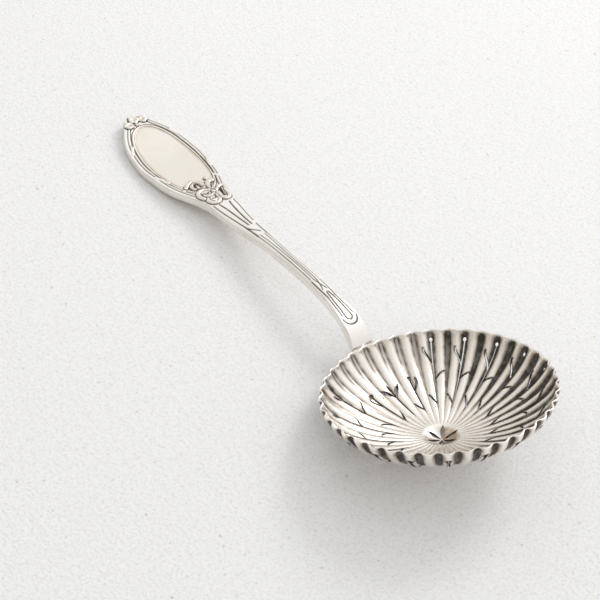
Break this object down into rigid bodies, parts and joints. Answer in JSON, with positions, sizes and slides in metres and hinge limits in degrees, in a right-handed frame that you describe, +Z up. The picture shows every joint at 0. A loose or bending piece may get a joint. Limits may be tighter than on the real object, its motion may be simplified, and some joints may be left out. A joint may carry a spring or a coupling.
{
  "type": "tea strainer spoon",
  "caption": "Antique silver tea strainer spoon: a fluted, pierced shell bowl soldered to a cast handle with a reeded stem, a bow and an oval cartouche.",
  "frame": {"origin": "middle of the whole length and width, on the table that the spoon rests on", "axes": "+X from the bowl to the tip of the handle, +Z up from the table, +Y to the left seen from the bowl"},
  "size_m": [0.1948, 0.07, 0.0308],
  "materials": {
    "bowl_silver": "polished silver with dark tarnish in the grooves",
    "handle_silver": "polished silver with dark tarnish in the grooves",
    "solder": "dull silver solder"
  },
  "bodies": {
    "root": {"bowl": "bowl_silver", "handle": "handle_silver", "solder_joint": "solder"}
  },
  "joints": []
}
